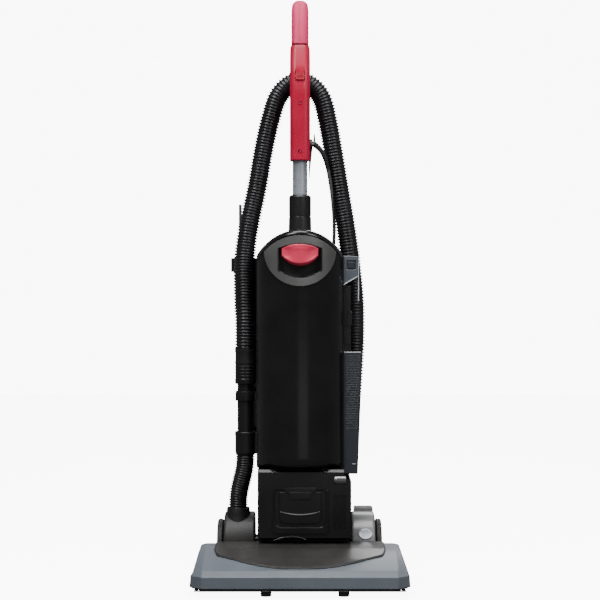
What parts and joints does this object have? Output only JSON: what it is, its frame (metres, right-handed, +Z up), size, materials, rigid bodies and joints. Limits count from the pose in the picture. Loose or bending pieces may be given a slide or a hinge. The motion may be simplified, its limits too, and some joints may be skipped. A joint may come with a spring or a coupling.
{
  "type": "upright vacuum cleaner",
  "caption": "Commercial upright vacuum cleaner with a reclining body, opening bag door, brush roll, stowed hose and wrapped power cord.",
  "frame": {"origin": "on the floor, under the middle of the foot", "axes": "+Z up along the handle, -Y towards the front of the nozzle, +X to the right seen from the front"},
  "size_m": [0.406, 0.33, 1.1385],
  "materials": {
    "shell_black": "gloss",
    "trim_black": "satin",
    "hood_grey": "satin",
    "insert_grey": "gloss",
    "dome_grey": "gloss",
    "slate_grey": "satin",
    "red": "satin",
    "bezel_metal": "satin",
    "tube_metal": "satin",
    "steel": "brushed",
    "tyre_rubber": "matt",
    "soft_rubber": "matt",
    "hose_black": "ribbed",
    "cord_grey": "matt",
    "bag_cloth": "woven",
    "filter_paper": "pleated",
    "bristle": "fibre",
    "winding": "lacquered"
  },
  "bodies": {
    "foot": {"nozzle_base": "hood_grey", "hood": "hood_grey", "hood_insert": "insert_grey", "bumper": "soft_rubber", "sole_plate": "steel", "left_dome": "dome_grey", "right_dome": "dome_grey", "pivot_bearings": "trim_black", "brush_motor": "winding", "brush_bearings": "trim_black", "drive_belt": "soft_rubber", "wheel_axles": "steel", "hose_socket": "trim_black", "suction_duct": "trim_black", "pedal_bracket": "trim_black", "pedal_spring": "steel"},
    "motor_rotor": {"motor_armature": "steel"},
    "brush_roll": {"brush_core": "trim_black", "bristles": "bristle"},
    "front_left_roller": {"front_roller_left": "trim_black"},
    "front_right_roller": {"front_roller_right": "trim_black"},
    "rear_left_wheel": {"left_rear_tyre": "tyre_rubber", "left_rear_hub": "dome_grey"},
    "rear_right_wheel": {"right_rear_tyre": "tyre_rubber", "right_rear_hub": "dome_grey"},
    "pedal": {"release_pedal": "hood_grey"},
    "upright": {"rear_shell": "shell_black", "door_gasket": "soft_rubber", "door_hinge_pin": "steel", "motor_housing": "shell_black", "front_cover": "shell_black", "suction_motor": "winding", "dust_bag": "bag_cloth", "bag_collar": "trim_black", "inlet_pipe": "trim_black", "side_panel": "slate_grey", "filter_cover": "slate_grey", "exhaust_filter": "filter_paper", "handle_tube": "tube_metal", "handle_collar": "trim_black", "grip_lower": "red", "grip_upper": "red", "grip_screws": "steel", "hose_hook": "trim_black", "wand_holder": "trim_black", "hose_inlet": "trim_black", "upper_cord_hook": "trim_black", "hose_loop": "hose_black", "lower_hose": "hose_black", "power_cord": "cord_grey", "cord_hank": "cord_grey", "power_plug": "soft_rubber"},
    "fan": {"suction_fan": "steel"},
    "door": {"bag_door": "shell_black", "latch_bezel": "bezel_metal"},
    "latch": {"door_latch": "red"},
    "switch": {"power_switch": "red"},
    "swivel_hook": {"lower_cord_hook": "trim_black"},
    "wand": {"wand_tube": "trim_black", "hose_cuff": "trim_black"}
  },
  "joints": [
    {"name": "recline", "type": "hinge", "parent": "foot", "child": "upright", "pos_m": [0, 0.075, 0.066], "axis": [-1, 0, 0], "range_deg": [0, 70], "deforming": ["lower_hose"]},
    {"name": "motor_spin", "type": "hinge", "parent": "foot", "child": "motor_rotor", "pos_m": [0.12, 0.075, 0.066], "axis": [1, 0, 0], "continuous": true},
    {"name": "brush_spin", "type": "hinge", "parent": "foot", "child": "brush_roll", "pos_m": [0, -0.112, 0.028], "axis": [1, 0, 0], "continuous": true},
    {"name": "front_left_roll", "type": "hinge", "parent": "foot", "child": "front_left_roller", "pos_m": [-0.062, -0.147, 0.012], "axis": [1, 0, 0], "continuous": true},
    {"name": "front_right_roll", "type": "hinge", "parent": "foot", "child": "front_right_roller", "pos_m": [0.08, -0.147, 0.012], "axis": [1, 0, 0], "continuous": true},
    {"name": "rear_left_roll", "type": "hinge", "parent": "foot", "child": "rear_left_wheel", "pos_m": [-0.156, 0.085, 0.055], "axis": [1, 0, 0], "continuous": true},
    {"name": "rear_right_roll", "type": "hinge", "parent": "foot", "child": "rear_right_wheel", "pos_m": [0.154, 0.085, 0.055], "axis": [1, 0, 0], "continuous": true},
    {"name": "pedal_press", "type": "hinge", "parent": "foot", "child": "pedal", "pos_m": [0.127, 0.1455, 0.108], "axis": [-1, 0, 0], "range_deg": [0, 10], "stiffness_Nm_per_rad": 1.5, "springref_deg": -11.46, "deforming": ["pedal_spring"]},
    {"name": "fan_spin", "type": "hinge", "parent": "upright", "child": "fan", "pos_m": [0.008, 0.052, 0.15], "axis": [0, 0, 1], "continuous": true},
    {"name": "door_open", "type": "hinge", "parent": "upright", "child": "door", "pos_m": [0, -0.012, 0.211], "axis": [1, 0, 0], "range_deg": [0, 40]},
    {"name": "latch_press", "type": "slide", "parent": "door", "child": "latch", "axis": [0, 0, -1], "range_m": [0, 0.006], "stiffness_N_per_m": 600, "springref_m": -0.004},
    {"name": "switch_rock", "type": "hinge", "parent": "upright", "child": "switch", "pos_m": [0, 0.051, 0.9795], "axis": [-1, 0, 0], "range_deg": [-8, 8]},
    {"name": "hook_swivel", "type": "hinge", "parent": "upright", "child": "swivel_hook", "pos_m": [0, 0.13, 0.3], "axis": [0, 1, 0], "range_deg": [0, 180]},
    {"name": "wand_lift", "type": "slide", "parent": "upright", "child": "wand", "axis": [0, 0, 1], "range_m": [0, 0.1], "deforming": ["hose_loop"]}
  ],
  "couplings": [
    {"joint": "motor_spin", "follows": "brush_spin", "ratio": 1.7527}
  ]
}
